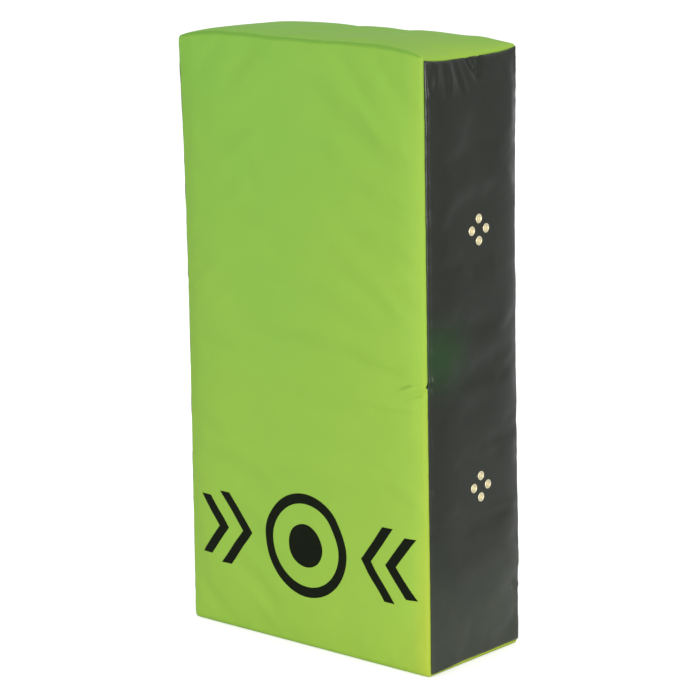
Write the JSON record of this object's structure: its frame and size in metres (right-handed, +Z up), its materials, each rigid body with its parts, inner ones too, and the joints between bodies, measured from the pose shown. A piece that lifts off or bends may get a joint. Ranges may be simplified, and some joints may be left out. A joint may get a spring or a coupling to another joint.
{
  "type": "rugby hit shield",
  "caption": "Hand-held foam tackle shield in a sewn vinyl cover, with air vents, padded handles on the back and a zip across its foot.",
  "frame": {"origin": "on the floor, under the middle of the foam block", "axes": "+Z up the shield's height, -Y out of the struck face, +Y out of the back towards the holder, +X to the right of someone facing the struck face"},
  "size_m": [0.3826, 0.2378, 0.7121],
  "materials": {
    "green_vinyl": "lime green PVC-coated fabric, satin, fine grain",
    "black_vinyl": "black PVC-coated fabric, semi-gloss",
    "cream_foam": "cream open-cell polyurethane foam",
    "pale_brass": "rolled brass eyelets with a pale nickel wash",
    "black_webbing": "woven polypropylene webbing",
    "zip_cloth": "woven tape with moulded acetal teeth",
    "zip_metal": "nickel-plated zinc die casting"
  },
  "bodies": {
    "shield": {"front_wrap_panel": "green_vinyl", "left_side_panel": "black_vinyl", "right_side_panel": "black_vinyl", "back_panel": "black_vinyl", "back_foot_panel": "black_vinyl", "strike_foam_slab": "cream_foam", "core_foam_slab": "cream_foam", "back_foam_slab": "cream_foam", "left_lower_back_eyelet": "pale_brass", "left_lower_top_eyelet": "pale_brass", "left_lower_front_eyelet": "pale_brass", "left_lower_bottom_eyelet": "pale_brass", "left_upper_back_eyelet": "pale_brass", "left_upper_top_eyelet": "pale_brass", "left_upper_front_eyelet": "pale_brass", "left_upper_bottom_eyelet": "pale_brass", "right_lower_back_eyelet": "pale_brass", "right_lower_top_eyelet": "pale_brass", "right_lower_front_eyelet": "pale_brass", "right_lower_bottom_eyelet": "pale_brass", "right_upper_back_eyelet": "pale_brass", "right_upper_top_eyelet": "pale_brass", "right_upper_front_eyelet": "pale_brass", "right_upper_bottom_eyelet": "pale_brass", "left_lower_back_washer": "pale_brass", "left_lower_top_washer": "pale_brass", "left_lower_front_washer": "pale_brass", "left_lower_bottom_washer": "pale_brass", "left_upper_back_washer": "pale_brass", "left_upper_top_washer": "pale_brass", "left_upper_front_washer": "pale_brass", "left_upper_bottom_washer": "pale_brass", "right_lower_back_washer": "pale_brass", "right_lower_top_washer": "pale_brass", "right_lower_front_washer": "pale_brass", "right_lower_bottom_washer": "pale_brass", "right_upper_back_washer": "pale_brass", "right_upper_top_washer": "pale_brass", "right_upper_front_washer": "pale_brass", "right_upper_bottom_washer": "pale_brass", "left_handle_upper_patch": "black_vinyl", "left_handle_lower_patch": "black_vinyl", "left_handle_strap": "black_webbing", "right_handle_upper_patch": "black_vinyl", "right_handle_lower_patch": "black_vinyl", "right_handle_strap": "black_webbing", "upper_zip_tape": "zip_cloth", "lower_zip_tape": "zip_cloth", "zip_bottom_stop": "zip_metal", "upper_zip_top_stop": "zip_metal", "lower_zip_top_stop": "zip_metal", "left_zip_end_tab": "black_vinyl", "right_zip_end_tab": "black_vinyl"},
    "left_handle": {"left_grip_sleeve": "black_vinyl", "left_grip_pad": "cream_foam"},
    "right_handle": {"right_grip_sleeve": "black_vinyl", "right_grip_pad": "cream_foam"},
    "zip_slider": {"zip_slider": "zip_metal"},
    "zip_pull": {"zip_pull": "zip_metal"}
  },
  "joints": [
    {"name": "left_handle_swing", "type": "hinge", "parent": "shield", "child": "left_handle", "pos_m": [-0.075, 0.0878, 0.365], "axis": [0, 0, 1], "range_deg": [-60, 60], "deforming": ["left_handle_strap"]},
    {"name": "right_handle_swing", "type": "hinge", "parent": "shield", "child": "right_handle", "pos_m": [0.075, 0.0878, 0.365], "axis": [0, 0, 1], "range_deg": [-60, 60], "deforming": ["right_handle_strap"]},
    {"name": "zip_slide", "type": "slide", "parent": "shield", "child": "zip_slider", "axis": [-1, 0, 0], "range_m": [0, 0.308]},
    {"name": "zip_pull_swing", "type": "hinge", "parent": "zip_slider", "child": "zip_pull", "pos_m": [0.15507, 0.0836, 0.045], "axis": [0, 0, -1], "range_deg": [0, 150]}
  ]
}
